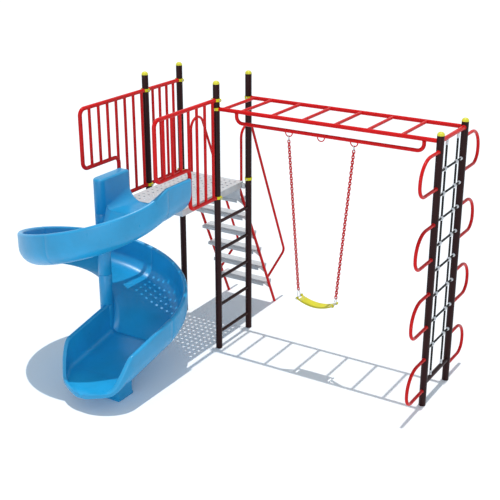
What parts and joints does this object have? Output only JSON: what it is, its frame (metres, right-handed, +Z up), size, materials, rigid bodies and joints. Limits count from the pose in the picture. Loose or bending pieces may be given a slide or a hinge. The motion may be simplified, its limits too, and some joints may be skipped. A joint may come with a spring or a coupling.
{
  "type": "play tower with spiral slide",
  "caption": "Free-standing play tower: spiral slide, deck with guards, stair, ladder, monkey bars, belt swing and rope-net end frame.",
  "frame": {"origin": "on the ground, under the middle of the bounding box", "axes": "+X along the monkey bars from the tower to the end frame, +Y from the slide exit towards the stair, +Z up"},
  "size_m": [3.725, 3.1808, 2.7],
  "materials": {
    "post_paint": "satin",
    "rail_paint": "gloss",
    "clamp_paint": "satin",
    "cap_plastic": "satin",
    "deck_coating": "matt",
    "slide_plastic": "satin",
    "net_rope": "matt",
    "chain_coating": "satin",
    "zinc_steel": "satin",
    "seat_rubber": "satin"
  },
  "bodies": {
    "frame": {"tower_post_front_left": "post_paint", "tower_cap_front_left": "cap_plastic", "tower_post_back_left": "post_paint", "tower_cap_back_left": "cap_plastic", "tower_post_front_right": "post_paint", "tower_cap_front_right": "cap_plastic", "tower_post_back_right": "post_paint", "tower_cap_back_right": "cap_plastic", "end_post_front": "post_paint", "end_cap_front": "cap_plastic", "end_post_back": "post_paint", "end_cap_back": "cap_plastic", "guard_clamp_front_left_top": "clamp_paint", "guard_clamp_front_left_low": "clamp_paint", "guard_clamp_back_left_top": "clamp_paint", "guard_clamp_back_left_low": "clamp_paint", "guard_clamp_front_right_top": "clamp_paint", "guard_clamp_front_right_low": "clamp_paint", "bar_clamp_front": "clamp_paint", "bar_clamp_back": "clamp_paint", "deck_clamp_back_right": "clamp_paint", "slide_guard_left": "rail_paint", "slide_guard_right": "rail_paint", "side_guard": "rail_paint", "deck_tray": "deck_coating", "stair_stringer_left": "rail_paint", "stair_stringer_right": "rail_paint", "stair_tread_1": "deck_coating", "stair_tread_2": "deck_coating", "stair_tread_3": "deck_coating", "stair_tread_4": "deck_coating", "stair_tread_5": "deck_coating", "stair_tread_6": "deck_coating", "handrail_left": "rail_paint", "handrail_right": "rail_paint", "monkey_bars": "rail_paint", "grip_loop_front_1": "rail_paint", "grip_loop_back_1": "rail_paint", "grip_loop_front_2": "rail_paint", "grip_loop_back_2": "rail_paint", "grip_loop_front_3": "rail_paint", "grip_loop_back_3": "rail_paint", "grip_loop_front_4": "rail_paint", "grip_loop_back_4": "rail_paint", "rope_net": "net_rope", "slide_pole": "post_paint", "slide_entry": "slide_plastic", "slide_turn_1": "slide_plastic", "slide_turn_2": "slide_plastic", "slide_turn_3": "slide_plastic", "slide_turn_4": "slide_plastic", "slide_exit": "slide_plastic", "slide_exit_foot": "slide_plastic", "slide_hub_foot": "slide_plastic", "swing_beam": "rail_paint"},
    "swing": {"swing_chain_left": "chain_coating", "swing_chain_right": "chain_coating"},
    "seat": {"belt_seat": "seat_rubber", "seat_fitting_left": "zinc_steel", "seat_fitting_right": "zinc_steel"}
  },
  "joints": [
    {"name": "swing_pivot", "type": "hinge", "parent": "frame", "child": "swing", "pos_m": [0.7345, 0.1104, 2.284], "axis": [1, 0, 0], "range_deg": [-60, 60]},
    {"name": "seat_pivot", "type": "hinge", "parent": "swing", "child": "seat", "pos_m": [0.7345, 0.1104, 0.83], "axis": [1, 0, 0], "range_deg": [-30, 30]}
  ]
}
